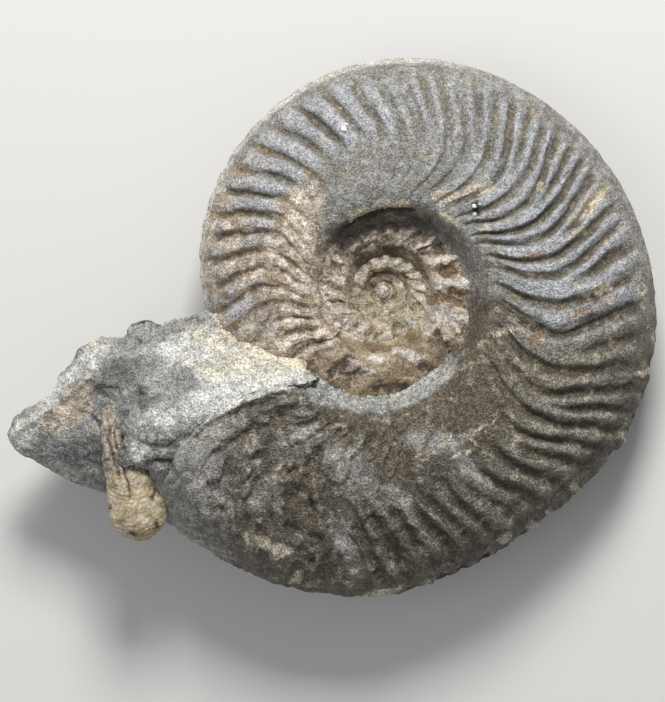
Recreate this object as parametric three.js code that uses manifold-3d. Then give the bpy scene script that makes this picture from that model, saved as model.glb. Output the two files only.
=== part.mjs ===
// An ammonite fossil that lies on one flank, with the sandstone at its mouth and a small shell in it.
// Units are millimetres, +Z up. The coil is drawn about its own axis, with its middle plane at z = 0,
// and is then tipped and lifted so that its lower flank and the rock rest on the plane z = 0.
// Angles run clockwise seen from above, and start at the left (-X). The last exposed whorl runs
// from about -35 degrees to its broken mouth, and each turn inwards takes 360 degrees away.
import * as THREE from "three";
import { mergeVertices } from "three/addons/utils/BufferGeometryUtils.js";
import Module from "manifold-3d";

const wasm = await Module();
wasm.setup();

// Driving dimensions of the coil.
const FULL_TURN = 360;
const GROWTH = 2; // each turn is twice the size of the one before
const SEAM_RADIUS = 10.37; // at angle 0, where the last whorl meets the one inside it
const HALF_THICKNESS = 8; // at angle 0
const KEEL_HALF_WIDTH = 0.45;
const RIB_DEPTH = 1.3;
const CORE_RADIUS = 2.1; // the first chambers, at the centre
const CORE_FLATNESS = 0.6;
const LEAST_HEIGHT = 0.2; // of the surface over the middle plane
const CLEARANCE = 0.3; // between the ammonite, the rock and the small shell
const ROCK_LUMPS = 0.5; // how far small lumps rise and dip on the rock's upper side

// The mouth is thicker than the side across from it, so the coil lies tipped by these angles, on
// its lower flank and the rock's floor. Both are worn flat where they meet the plane z = 0.
const TIP_X = -3.6;
const TIP_Y = 2.9;
const FLOOR_BELOW_AXIS = 12.5;

const TINY = 1e-6;
const radians = (angle) => (angle * Math.PI) / 180;

function smoothStep([low, high], x) {
  const t = Math.min(Math.max((x - low) / (high - low), 0), 1);
  return t * t * (3 - 2 * t);
}

// A smooth curve through a few pairs of numbers, level beyond its ends.
function curveThrough(pairs) {
  const last = pairs.length - 1;
  const slope = (i) => {
    const [x0, y0] = pairs[Math.max(i - 1, 0)];
    const [x1, y1] = pairs[Math.min(i + 1, last)];
    return (y1 - y0) / (x1 - x0);
  };
  return (x) => {
    if (x <= pairs[0][0]) return pairs[0][1];
    if (x >= pairs[last][0]) return pairs[last][1];
    const i = pairs.findIndex((pair) => pair[0] > x) - 1;
    const [x0, y0] = pairs[i];
    const [x1, y1] = pairs[i + 1];
    const span = x1 - x0;
    const t = (x - x0) / span;
    const u = 1 - t;
    const ends = y0 * u * u * (1 + 2 * t) + y1 * t * t * (1 + 2 * u);
    return ends + span * t * u * (slope(i) * u - slope(i + 1) * t);
  };
}

// The outer edge's distance from the axis along the exposed whorl, from angle to radius.
const EXPOSED_FROM = -35;
const outerEdge = curveThrough([
  [EXPOSED_FROM, 27.2],
  [0, 30.6],
  [45, 34.9],
  [90, 39.4],
  [135, 42.6],
  [180, 46.1],
  [210, 48.3],
  [235, 47.7],
  [255, 49.5],
  [275, 52.2],
  [300, 53.4],
  [325, 54.4],
]);

// Ribs are numbered along the coil: a whole number is a groove and a half is a crest. The tubes
// that make up the coil start at these ribs, each less than a full turn after the one before.
const TURN_RIBS = [-48, -39, -22, -5];
const MOUTH_RIB = 54;
const LAST_STRONG_RIB = 50;
const TURN_OVERLAP = 0.5; // in ribs
const TUCK = 0.05; // a turn's end lies this far inside the next turn
const ribAngle = curveThrough([
  [-50, -1064],
  [-40, -714],
  [-22, -364],
  [-8, -84],
  [-5, -43],
  [0, 2.5],
  [5, 41.8],
  [10, 82.3],
  [13, 100.8],
  [20, 135],
  [25, 156.4],
  [28, 170.8],
  [32, 197.4],
  [35, 212.3],
  [37, 222.3],
  [40, 240.8],
  [45, 266],
  [MOUTH_RIB, 316],
]);

// A rib's sickle shape: how far it leads, in degrees, from the seam (0) to the outer edge (1).
const ribSweep = curveThrough([
  [0, 1],
  [0.14, 1.4],
  [0.3, 7.2],
  [0.47, 8.7],
  [0.62, 5.7],
  [0.83, 0],
  [1, -2.3],
]);
const SWEEP_FADES = [296, 316]; // towards the mouth

// The broken mouth follows the rock's crest: how far it reaches past the last angle, in degrees,
// and how high the sandstone on its upper side rises.
const MOUTH_FORMS = [284, 316];
const mouthReach = curveThrough([
  [0, -1],
  [0.1, -0.5],
  [0.25, 4],
  [0.41, 7],
  [0.57, 8],
  [0.79, 5.5],
  [1, 2],
]);
const mouthRise = curveThrough([
  [0.1, 0],
  [0.41, 0.5],
  [0.57, 0.8],
  [0.79, 2.4],
  [0.92, 1.4],
  [1, 0],
]);

// Where a rib starts at the shoulder and sinks at the outer edge, where its outer half takes over
// from the inner one, and where every third groove closes, so that two ribs join in one.
const RIB_STARTS = [0.04, 0.16];
const RIB_SINKS = [0.88, 1];
const RIB_HALVES = [0.42, 0.62];
const FORK_CLOSES = [0.5, 0.72];
const FORKS_FROM = 95;
const FORKS_FULL = 115;
const FORK_EVERY = 3;

// Inside the forks the ribs spread evenly: from a groove's place after a closed one to its shift.
const FORK_SHIFTS = [
  [0, 0],
  [0.5, -0.125],
  [1, -0.25],
  [1.5, 0],
  [2, 0.25],
  [2.5, 0.125],
];

// How strong the ribs are on the outer and on the inner half of the flank, by angle.
const outerRibs = curveThrough([
  [-360, 0.9],
  [0, 1],
  [80, 0.9],
  [92, 0.35],
  [110, 0.5],
  [140, 1],
  [215, 1],
  [245, 0.85],
  [270, 0.6],
  [290, 0.35],
  [316, 0.3],
]);
const innerRibs = curveThrough([
  [-360, 1],
  [0, 0.7],
  [35, 0.35],
  [60, 0.1],
  [95, 0.15],
  [110, 0.6],
  [150, 0.95],
  [205, 1],
  [225, 0.6],
  [245, 0.25],
  [265, 0.15],
]);

// The inner turns' ribs round one turn: plain at the bottom, where clear calcite fills them.
const INNER_TURNS_END = [-60, -40];
const INNER_TURNS_FADE = [-1000, -300];
const INNER_TURN_RIBS = 0.75;
const innerTurnRibs = curveThrough([
  [0, 0.6],
  [20, 0.7],
  [50, 0.5],
  [90, 0.55],
  [130, 0.8],
  [150, 1],
  [200, 0.9],
  [218, 0.15],
  [305, 0.12],
  [330, 0.4],
  [360, 0.6],
]);

// Half of a turn's section, from inside the turn before to the keel: place across the flank, share
// of the half thickness. The last turn has more points above than below, and the inner turns end
// inside the turn that follows.
const LAST_FRONT = [
  [-0.15, 0.3],
  [0, 0.46],
  [0.12, 0.94],
  [0.24, 1],
  [0.4, 0.97],
  [0.55, 0.88],
  [0.7, 0.73],
  [0.83, 0.54],
  [0.93, 0.3],
  [1, 0],
];
const LAST_BACK = [
  [-0.15, 0.3],
  [0, 0.46],
  [0.12, 0.94],
  [0.3, 1],
  [0.55, 0.88],
  [0.8, 0.59],
  [1, 0],
];
const INNER_SECTION = [
  [-0.2, 0.2],
  [0, 0.46],
  [0.12, 0.9],
  [0.27, 1],
  [0.5, 0.92],
  [0.7, 0.6],
];

const growthTo = (angle) => GROWTH ** (angle / FULL_TURN);

function outerRadius(angle) {
  const turns = Math.max(0, Math.ceil((EXPOSED_FROM - angle) / FULL_TURN));
  return outerEdge(angle + turns * FULL_TURN) / GROWTH ** turns;
}

// How strong the ribs are at a place on the coil, from 0 to 1.
function ribStrength(angle, across) {
  const half = smoothStep(RIB_HALVES, across);
  const onLastTurn = smoothStep(INNER_TURNS_END, angle);
  const last = innerRibs(angle) * (1 - half) + outerRibs(angle) * half;
  const turned = angle - FULL_TURN * Math.floor(angle / FULL_TURN);
  const inner = INNER_TURN_RIBS * innerTurnRibs(turned) * smoothStep(INNER_TURNS_FADE, angle);
  return last * onLastTurn + inner * (1 - onLastTurn);
}

// How deep the surface lies below the rib crests, as a share of the rib depth.
function grooveDepth(rib, angle, across) {
  if (!Number.isInteger(rib) || rib > LAST_STRONG_RIB) return 0;
  const closes = angle > FORKS_FROM && rib % FORK_EVERY === 1;
  const open = closes ? smoothStep(FORK_CLOSES, across) : 1;
  const ends = smoothStep(RIB_STARTS, across) * (1 - 0.6 * smoothStep(RIB_SINKS, across));
  return ribStrength(angle, across) * open * ends;
}

// How far a rib or groove moves inside the forks, in ribs.
function forkShift(rib, across) {
  const past = rib - 1 - FORK_EVERY * Math.floor((rib - 1) / FORK_EVERY);
  const [, shift] = FORK_SHIFTS.find(([place]) => place === past);
  const forked = smoothStep([FORKS_FROM, FORKS_FULL], ribAngle(rib));
  return shift * forked * (1 - smoothStep(FORK_CLOSES, across));
}

// A point of the coil's surface: rib number, place in the section, side (1 above, -1 below).
function coilPoint(rib, [across, share], side, extra) {
  const angle = ribAngle(rib + forkShift(rib, across));
  const inner = SEAM_RADIUS * growthTo(angle);
  const radius = inner + across * (outerRadius(angle) - inner);
  const fade = 1 - smoothStep(SWEEP_FADES, angle);
  const mouth = smoothStep(MOUTH_FORMS, angle);
  const turned = radians(angle + ribSweep(across) * fade + mouthReach(across) * mouth);
  const size = growthTo(Math.min(angle, 0));
  const sunk = RIB_DEPTH * size * grooveDepth(rib, angle, across);
  const reach = across === 1 ? radius + extra - sunk / 2 : radius;
  const risen = side > 0 ? mouthRise(across) * mouth : 0;
  const half = HALF_THICKNESS * growthTo(angle) * share + KEEL_HALF_WIDTH * size;
  const level = side * Math.max(half + risen - sunk + extra, LEAST_HEIGHT);
  return [-reach * Math.cos(turned), reach * Math.sin(turned), level];
}

// The face across a tube's end, between its front and its back points from the inside outwards.
function endFaces(front, back, start) {
  const faces = [];
  let i = 0;
  let j = 0;
  const last = start + front.length + back.length - 1;
  while (i < front.length - 1 || j < back.length - 1) {
    const frontNext = i < front.length - 1 ? front[i + 1][0] : Infinity;
    const backNext = j < back.length - 1 ? back[j + 1][0] : Infinity;
    if (frontNext <= backNext) {
      faces.push([start + i, start + i + 1, last - j]);
      i += 1;
    } else {
      faces.push([start + i, last - j - 1, last - j]);
      j += 1;
    }
  }
  return faces;
}

// One stretch of the coil as a closed tube, with two columns of points to a rib. The columns
// thin out where the ribs have faded.
function whorlTube(firstRib, lastRib, front, back, extra) {
  const positions = [];
  const faces = [];
  const ribs = [];
  for (let rib = firstRib; rib <= lastRib; rib += rib < LAST_STRONG_RIB ? 0.5 : 1) ribs.push(rib);
  const columns = ribs.length - 1;
  const round = front.length + back.length;
  for (const rib of ribs) {
    front.forEach((place) => positions.push(...coilPoint(rib, place, 1, extra)));
    back.toReversed().forEach((place) => positions.push(...coilPoint(rib, place, -1, extra)));
  }
  for (let column = 0; column < columns; column += 1) {
    for (let i = 0; i < round; i += 1) {
      const a = column * round + i;
      const b = column * round + ((i + 1) % round);
      faces.push(a, a + round, b, b, a + round, b + round);
    }
  }
  faces.push(...endFaces(front, back, 0).flat());
  faces.push(...endFaces(front, back, columns * round).flatMap((face) => face.toReversed()));
  return solidOf(positions, faces);
}

function solidOf(positions, faces) {
  const triVerts = new Uint32Array(faces);
  const vertProperties = new Float32Array(positions);
  return new wasm.Manifold(new wasm.Mesh({ numProp: 3, vertProperties, triVerts }));
}

function solidFromGeometry(geometry) {
  geometry.deleteAttribute("normal");
  geometry.deleteAttribute("uv");
  const merged = mergeVertices(geometry, 1e-4);
  return solidOf(merged.attributes.position.array, merged.index.array);
}

// The whole coil, larger all round by extra.
function coil(extra) {
  const ball = new THREE.SphereGeometry(CORE_RADIUS + extra, 10, 6);
  const core = solidFromGeometry(ball.scale(1, 1, CORE_FLATNESS));
  const inner = TURN_RIBS.slice(0, -1).map((first, turn) => {
    const last = TURN_RIBS[turn + 1] + TURN_OVERLAP;
    const tucked = extra - TUCK * (TURN_RIBS.length - 1 - turn);
    return whorlTube(first, last, INNER_SECTION, INNER_SECTION, tucked);
  });
  const outer = whorlTube(TURN_RIBS.at(-1), MOUTH_RIB, LAST_FRONT, LAST_BACK, extra);
  return [core, ...inner].reduce((whole, piece) => whole.add(piece), outer);
}

// The rock is drawn in the coil's frame. Its edge runs round the rock and then on inside the
// ammonite, which is cut out of it.
const ROCK_EDGE = [
  [-30, -2.6, 0.5],
  [-34.2, -3.9, 0],
  [-37.6, -4.9, -0.5],
  [-39.6, -4.2, 0],
  [-43, -5.3, 0],
  [-44, -6.7, 0],
  [-48.5, -7.6, 0.5],
  [-51.9, -8.7, 0],
  [-53.3, -11.4, 0],
  [-55.1, -13.3, 0.5],
  [-57, -17.2, 0.5],
  [-61.4, -19.6, 0],
  [-63.6, -21.3, 0],
  [-64.6, -24.3, 0],
  [-63.2, -27, -0.5],
  [-57.8, -30.4, -1],
  [-52.9, -33.2, -1],
  [-49, -33.6, -1],
  [-47, -34.6, -1],
  [-43.5, -35.8, -1],
  [-39.6, -36.8, -1],
  [-36.6, -38.6, -0.5],
  [-33, -34, 0],
  [-28, -29, 0],
  [-22, -24, 0],
  [-12, -18.5, 0],
  [-9, -13, 0],
  [-13, -8.5, 0],
  [-19, -6.5, 0],
  [-25, -4, 0],
  [-27, -1.5, 0],
];

// The rock's upper side: the line along the coil, the crest that carries on the whorl's shoulder,
// the sloping field between them, and the ledges and hollows to the left.
const ROCK_TOP = [
  [-28.6, -5.6, 4.2],
  [-26.2, -9, 6],
  [-19.2, -10.4, 7.6],
  [-13.8, -12, 8.2],
  [-10.5, -14.6, 9],
  [-15.3, -15.8, 15],
  [-21, -18.4, 14.9],
  [-26.4, -19.8, 14.4],
  [-31.2, -22.8, 13.3],
  [-22, -13.8, 11.2],
  [-27.5, -14, 10.6],
  [-32.8, -9, 5.8],
  [-33.7, -15.8, 10.8],
  [-39.6, -9.2, 4.8],
  [-39.4, -14.6, 8],
  [-33, -19.6, 12.9],
  [-39.2, -19.4, 11.9],
  [-43, -23.2, 11],
  [-37, -25, 12.4],
  [-35.4, -29, 11.2],
  [-43.4, -30.2, 9.8],
  [-39.6, -29, 11],
  [-44.8, -11.6, 4.8],
  [-49, -12, 5.2],
  [-44.7, -15.9, 6.3],
  [-48.2, -17.6, 5.4],
  [-50.3, -14.6, 6.8],
  [-57.4, -19.4, 5],
  [-62.2, -23.6, 2.6],
  [-56.4, -24.2, 3.8],
  [-51.6, -21.6, 4.6],
  [-46.6, -20.6, 6.2],
  [-46.8, -26.4, 6.4],
  [-51.8, -27.4, 3.6],
  [-57.6, -27.4, 1.6],
  [-50.6, -31, 1.8],
  [-46, -31.6, 4.4],
  [-36.4, -32.6, 7.2],
  [-40, -33.4, 3],
];

// The rock's under side, which nobody sees while it lies: a rough break with one flat floor.
const ROCK_FLOOR = -17.6;
const ROCK_UNDER = [
  [-30, -10, -9],
  [-36, -10.5, -8.5],
  [-44, -12, -8],
  [-52, -15, -7],
  [-58, -21, -6],
  [-59, -26, -6],
  [-53, -29.5, -8],
  [-46, -31, -10],
  [-40, -32, -11],
  [-31, -15, ROCK_FLOOR],
  [-40, -16.5, ROCK_FLOOR],
  [-48, -19.5, ROCK_FLOOR + 2.5],
  [-49, -25, ROCK_FLOOR + 2.5],
  [-43, -28, ROCK_FLOOR],
  [-34, -27, ROCK_FLOOR],
  [-24, -20, ROCK_FLOOR],
  [-20, -12, -10],
];

// The small shell lies in the rock like a drop: a thin stem that runs up under the rock's tip and
// a round body below. Each ring is a middle point, half its width and half its depth.
const SMALL_SHELL_RINGS = [
  [-46.3, -20.4, 5.9, 0.8, 0.8],
  [-45.8, -23, 6.7, 1.3, 1.2],
  [-45.2, -26, 7, 1.7, 1.3],
  [-44.7, -28.8, 6.4, 2, 1.5],
  [-43.7, -31.2, 5.4, 3, 2.2],
  [-42.5, -33.2, 4.7, 4.3, 3],
  [-41.8, -35.6, 4.3, 4.9, 3.5],
  [-41.5, -38.2, 4, 4.8, 3.4],
  [-41.5, -40.2, 3.8, 3.9, 2.8],
  [-41.6, -41.6, 3.6, 2.2, 1.7],
];
const SMALL_SHELL_ENDS = [
  [-46.4, -19.4, 5.5],
  [-41.6, -42.3, 3.5],
];
const SMALL_SHELL_SIDES = 14;

// The small shell, larger all round by extra.
function smallShell(extra) {
  const [head, tail] = SMALL_SHELL_ENDS;
  const positions = [head[0], head[1] + extra, head[2], tail[0], tail[1] - extra, tail[2]];
  const faces = [];
  SMALL_SHELL_RINGS.forEach(([x, y, z, width, depth], ring) => {
    const start = 2 + ring * SMALL_SHELL_SIDES;
    for (let side = 0; side < SMALL_SHELL_SIDES; side += 1) {
      const turn = (2 * Math.PI * side) / SMALL_SHELL_SIDES;
      const across = (width + extra) * Math.cos(turn);
      positions.push(x + across, y, z + (depth + extra) * Math.sin(turn));
      const next = (side + 1) % SMALL_SHELL_SIDES;
      const [a, b] = [start + side, start + next];
      if (ring === 0) faces.push(0, b, a);
      if (ring === SMALL_SHELL_RINGS.length - 1) faces.push(1, a, b);
      else faces.push(a, b, a + SMALL_SHELL_SIDES, b, b + SMALL_SHELL_SIDES, a + SMALL_SHELL_SIDES);
    }
  });
  return solidOf(positions, faces);
}

// Twice the area of a triangle seen from above, positive when its corners run anticlockwise.
const cross2 = (a, b, c) => (b[0] - a[0]) * (c[1] - a[1]) - (b[1] - a[1]) * (c[0] - a[0]);

// Whether a point lies inside the circle through the corners of an anticlockwise triangle.
function insideCircle(a, b, c, p) {
  const rows = [a, b, c].map((q) => {
    const x = q[0] - p[0];
    const y = q[1] - p[1];
    return [x, y, x * x + y * y];
  });
  const [[ax, ay, as], [bx, by, bs], [cx, cy, cs]] = rows;
  return ax * (by * cs - bs * cy) - ay * (bx * cs - bs * cx) + as * (bx * cy - by * cx) > TINY;
}

function insideEdge([x, y], edge) {
  let inside = false;
  edge.forEach(([x1, y1], i) => {
    const [x0, y0] = edge[(i + edge.length - 1) % edge.length];
    if (y1 > y !== y0 > y && x < x0 + ((x1 - x0) * (y - y0)) / (y1 - y0)) inside = !inside;
  });
  return inside;
}

// The triangles between points seen from above: those with no other point in their circle, inside
// the edge.
function triangleNet(points, edge) {
  const faces = [];
  for (let i = 0; i < points.length; i += 1) {
    for (let j = i + 1; j < points.length; j += 1) {
      for (let k = j + 1; k < points.length; k += 1) {
        const turn = cross2(points[i], points[j], points[k]);
        if (Math.abs(turn) < TINY) continue;
        const face = turn > 0 ? [i, j, k] : [i, k, j];
        const [a, b, c] = face.map((n) => points[n]);
        if (points.some((p, n) => !face.includes(n) && insideCircle(a, b, c, p))) continue;
        const middle = [(a[0] + b[0] + c[0]) / 3, (a[1] + b[1] + c[1]) / 3];
        if (insideEdge(middle, edge)) faces.push(face);
      }
    }
  }
  return faces;
}

// A small lump or dip, from -1 to 1, that depends only on the place.
function lumpAt(x, y) {
  const waves = [Math.sin(1.9 * x + 0.7 * y), Math.sin(2.3 * y - 1.1 * x), Math.sin(3.1 * (x + y))];
  return waves.reduce((sum, wave) => sum + wave) / waves.length;
}

// A face's triangles once its sides have the middle points given, where -1 stands for none.
function partedFace([a, b, c], [ab, bc, ca]) {
  const ring = [a, ab, b, bc, c, ca].filter((n) => n >= 0);
  if (ring.length === 6) return [a, ab, ca, ab, b, bc, ca, bc, c, ab, bc, ca];
  const start = Math.max(ring.findIndex((n) => [ab, bc, ca].includes(n)), 0);
  const around = ring.map((_, i) => ring[(start + i) % ring.length]);
  return around.slice(1, -1).flatMap((n, i) => [around[0], n, around[i + 2]]);
}

// A rough solid between two nets of points with one edge. Each triangle of the upper net is parted
// at the middles of its sides, which rise or dip a little.
function roughSolid(edge, top, under, lump) {
  const positions = [...edge];
  const middles = new Map();
  const middleOf = (a, b) => {
    if (a < edge.length && b < edge.length) return -1;
    const key = Math.min(a, b) + "-" + Math.max(a, b);
    if (!middles.has(key)) {
      const middle = positions[a].map((value, axis) => (value + positions[b][axis]) / 2);
      middle[2] += lump * lumpAt(middle[0], middle[1]);
      middles.set(key, positions.push(middle) - 1);
    }
    return middles.get(key);
  };
  const netFaces = (inner) => {
    const numbers = [...edge.keys(), ...inner.map((point) => positions.push(point) - 1)];
    return triangleNet([...edge, ...inner], edge).map((face) => face.map((n) => numbers[n]));
  };
  const upper = netFaces(top).flatMap(([a, b, c]) =>
    partedFace([a, b, c], [middleOf(a, b), middleOf(b, c), middleOf(c, a)]),
  );
  const lower = netFaces(under).flatMap((face) => face.toReversed());
  return solidOf(positions.flat(), [...upper, ...lower]);
}

function largestPiece(solid) {
  return solid.decompose().reduce((a, b) => (b.volume() > a.volume() ? b : a));
}

// Everything below the plane that the fossil lies on, in the coil's frame.
function belowFloor(tip) {
  const side = 200;
  const block = new THREE.BoxGeometry(side, side, side);
  block.translate(0, 0, -FLOOR_BELOW_AXIS - side / 2);
  block.applyMatrix4(new THREE.Matrix4().makeRotationFromEuler(tip).invert());
  return solidFromGeometry(block);
}

function meshOf(name, solid, material) {
  const mesh = solid.getMesh();
  const geometry = new THREE.BufferGeometry();
  geometry.setAttribute("position", new THREE.BufferAttribute(mesh.vertProperties, 3));
  geometry.setIndex(new THREE.BufferAttribute(mesh.triVerts, 1));
  geometry.computeVertexNormals();
  const made = new THREE.Mesh(geometry, material);
  made.name = name;
  return made;
}

const fossilMaterial = new THREE.MeshStandardMaterial({ color: 0x6d6558, roughness: 0.6 });
const rockMaterial = new THREE.MeshStandardMaterial({ color: 0x8b8b88, roughness: 0.9 });
const smallShellMaterial = new THREE.MeshStandardMaterial({ color: 0xb8a37a, roughness: 0.7 });

const tip = new THREE.Euler(radians(TIP_X), radians(TIP_Y), 0);
const wornAway = belowFloor(tip);
const ammonite = coil(0).subtract(wornAway);
const coilSpace = coil(CLEARANCE);
const bivalve = largestPiece(smallShell(0).subtract(coilSpace));
const rockSpace = coilSpace.add(smallShell(CLEARANCE)).add(wornAway);
const rock = largestPiece(roughSolid(ROCK_EDGE, ROCK_TOP, ROCK_UNDER, ROCK_LUMPS).subtract(rockSpace));

const fossil = new THREE.Group();
fossil.add(meshOf("ammonite", ammonite, fossilMaterial));
fossil.add(meshOf("matrix_rock", rock, rockMaterial));
fossil.add(meshOf("small_shell", bivalve, smallShellMaterial));
fossil.rotation.copy(tip);

// The origin is the middle of the bottom of the whole object's box.
const middle = new THREE.Box3().setFromObject(fossil, true).getCenter(new THREE.Vector3());
fossil.position.set(-middle.x, -middle.y, FLOOR_BELOW_AXIS);

export default fossil;
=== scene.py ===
# An ammonite fossil on its back flank, with the sandstone at its mouth and a small shell in it.
# Shapes are worked out in millimetres in the coil's own frame, whose axis is Z and whose middle
# plane is z = 0, and are then tipped, lifted and scaled into the part's frame in metres.
# Angles run clockwise from the left (-X), seen from above, and whorls count back by full turns.
import math

import bmesh
import bpy
import numpy as np
from mathutils import Matrix, Vector, geometry, noise


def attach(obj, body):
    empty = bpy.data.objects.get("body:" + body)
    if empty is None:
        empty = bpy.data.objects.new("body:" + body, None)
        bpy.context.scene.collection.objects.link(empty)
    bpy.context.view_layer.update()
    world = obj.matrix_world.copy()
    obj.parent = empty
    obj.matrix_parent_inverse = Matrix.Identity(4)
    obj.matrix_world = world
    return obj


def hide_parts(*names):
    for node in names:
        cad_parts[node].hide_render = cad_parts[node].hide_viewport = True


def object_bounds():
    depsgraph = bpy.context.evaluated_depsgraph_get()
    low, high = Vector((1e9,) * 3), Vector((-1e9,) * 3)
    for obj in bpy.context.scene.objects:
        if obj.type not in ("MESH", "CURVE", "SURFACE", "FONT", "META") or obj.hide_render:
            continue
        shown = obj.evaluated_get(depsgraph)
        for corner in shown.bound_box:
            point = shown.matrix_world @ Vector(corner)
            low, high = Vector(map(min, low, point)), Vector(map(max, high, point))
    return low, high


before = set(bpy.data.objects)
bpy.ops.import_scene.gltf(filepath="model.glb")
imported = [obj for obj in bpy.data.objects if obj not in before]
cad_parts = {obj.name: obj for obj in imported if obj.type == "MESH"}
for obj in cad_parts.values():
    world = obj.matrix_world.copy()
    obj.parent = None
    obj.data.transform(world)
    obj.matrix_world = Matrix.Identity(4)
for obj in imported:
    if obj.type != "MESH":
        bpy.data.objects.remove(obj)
cad_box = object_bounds()

MM = 0.001
BODY = "root"

# The coil lies tipped by these angles, in degrees, with its axis at this place, in millimetres.
TIP_X = -3.6
TIP_Y = 2.9
AXIS = (9.01, 6.12, 12.5)

# The picture's frame, the pixel that the coil's axis falls on, and the size of a pixel.
FRAME_WIDTH = 665
FRAME_HEIGHT = 702
AXIS_PIXEL_X = 383
AXIS_PIXEL_Y = 292
MM_PER_PIXEL = 0.17
CAMERA_DISTANCE = 800.0
SENSOR = 36.0

FULL_TURN = 360.0
GROWTH = 2.0
SEAM_RADIUS = 10.37
HALF_THICKNESS = 8.0
KEEL_HALF_WIDTH = 0.45
KEEL_ROUND = 0.05
RIB_DEPTH = 1.3
LEAST_HEIGHT = 0.1
EXPOSED_FROM = -35.0
MOUTH_ANGLE = 316.0
SEED = 11

# Blender starts noise_vector() from the clock, so this makes every run draw the same marks.
noise.seed_set(SEED)


def coil_to_part():
    """The matrix from the coil's frame in millimetres to the part's frame in metres."""
    tip = Matrix.Rotation(math.radians(TIP_X), 4, "X") @ Matrix.Rotation(math.radians(TIP_Y), 4, "Y")
    return Matrix.Scale(MM, 4) @ Matrix.Translation(AXIS) @ tip


TO_PART = coil_to_part()


def point_in_part(x, y, z):
    return TO_PART @ Vector((x, y, z))


def turn_of_part():
    """The coil frame's turn alone, as a 3 by 3 matrix."""
    return (TO_PART.to_3x3() * (1 / MM)).normalized()


def smooth_step(low, high, x):
    t = np.clip((x - low) / (high - low), 0.0, 1.0)
    return t * t * (3 - 2 * t)


def band(rises, falls, x):
    """1 from the end of a rising stretch to the start of a falling one, and 0 outside both."""
    return smooth_step(*rises, x) * (1 - smooth_step(*falls, x))


def curve_through(pairs):
    """A smooth curve through a few pairs of numbers, level beyond its ends."""
    xs, ys = np.array(pairs, float).T
    slopes = np.gradient(ys, xs)
    slopes[1:-1] = (ys[2:] - ys[:-2]) / (xs[2:] - xs[:-2])

    def value(x):
        x = np.clip(x, xs[0], xs[-1])
        i = np.clip(np.searchsorted(xs, x, side="right") - 1, 0, len(xs) - 2)
        span = xs[i + 1] - xs[i]
        t = (x - xs[i]) / span
        u = 1 - t
        ends = ys[i] * u * u * (1 + 2 * t) + ys[i + 1] * t * t * (1 + 2 * u)
        return ends + span * t * u * (slopes[i] * u - slopes[i + 1] * t)

    return value


def lumps(points, size, octaves=3, roughness=0.9, shift=0.0):
    """Smooth random lumps, about -1 to 1, whose largest are about size across."""
    scaled = points / size + shift
    return np.array([noise.fractal(Vector(p), roughness, 2.0, octaves) for p in scaled])


def facets(points, size, shift):
    """Heights of broken facets about size across, each leaning its own way, about -1 to 1."""
    heights = []
    for p in points / size + shift:
        place = Vector(p)
        middle = noise.voronoi(place)[1][0]
        lean = noise.cell_vector(middle * 7.3) - Vector((0.5, 0.5, 0.5))
        heights.append(2 * (place - middle).dot(lean))
    return np.array(heights)


def frayed(points, reach, size):
    """The points moved aside at random, so that what is drawn on them has a ragged edge."""
    away = [noise.noise_vector(Vector(p)) + 0.6 * noise.noise_vector(Vector(p) * 3) for p in points / size]
    return points + reach * np.array(away)


def from_pixel(px, py):
    """The place in millimetres, seen down the axis, of a pixel of the photograph's frame."""
    return (px - AXIS_PIXEL_X) * MM_PER_PIXEL, (AXIS_PIXEL_Y - py) * MM_PER_PIXEL


def spots(points, rows):
    """1 in the middle of each spot and 0 outside, on the upper side alone.

    A row is the middle in pixels, half the length and half the width in pixels, and the turn
    of the length in degrees, anticlockwise from the right.
    """
    value = np.zeros(len(points))
    for px, py, length, width, turn in rows:
        x, y = from_pixel(px, py)
        away_x = points[:, 0] - x
        away_y = points[:, 1] - y
        c, s = math.cos(math.radians(turn)), math.sin(math.radians(turn))
        along = (away_x * c + away_y * s) / (length * MM_PER_PIXEL)
        aside = (away_y * c - away_x * s) / (width * MM_PER_PIXEL)
        value = np.maximum(value, 1 - along**2 - aside**2)
    return value * (points[:, 2] > 0)


def strokes(points, lines, half_width):
    """1 on each drawn line and 0 at half_width pixels from it, on the upper side alone."""
    value = np.zeros(len(points))
    for line in lines:
        corners = [np.array(from_pixel(px, py)) for px, py in line]
        for start, end in zip(corners, corners[1:]):
            run = end - start
            away = points[:, :2] - start
            share = np.clip(away @ run / (run @ run), 0, 1)
            gap = np.linalg.norm(away - share[:, None] * run, axis=1)
            value = np.maximum(value, 1 - gap / (half_width * MM_PER_PIXEL))
    return value * (points[:, 2] > 0)


def add_camera():
    """A camera that looks straight down the coil's axis, as the photograph does."""
    centre_x = (FRAME_WIDTH / 2 - AXIS_PIXEL_X) * MM_PER_PIXEL
    centre_y = (AXIS_PIXEL_Y - FRAME_HEIGHT / 2) * MM_PER_PIXEL
    data = bpy.data.cameras.new("camera")
    data.sensor_fit = "VERTICAL"
    data.sensor_height = SENSOR
    data.lens = SENSOR * CAMERA_DISTANCE / (FRAME_HEIGHT * MM_PER_PIXEL)
    data.clip_start = 0.01
    camera = bpy.data.objects.new("camera", data)
    bpy.context.scene.collection.objects.link(camera)
    place = point_in_part(centre_x, centre_y, CAMERA_DISTANCE)
    camera.matrix_world = Matrix.Translation(place) @ turn_of_part().to_4x4()
    bpy.context.scene.camera = camera


add_camera()


# The outer edge's distance from the axis along the exposed whorl.
outer_edge = curve_through([
    (EXPOSED_FROM, 27.2), (0, 30.6), (45, 34.9), (90, 39.4), (135, 42.6), (180, 46.1), (210, 48.3),
    (235, 47.7), (255, 49.5), (275, 52.2), (300, 53.4), (325, 54.4),
])

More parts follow.
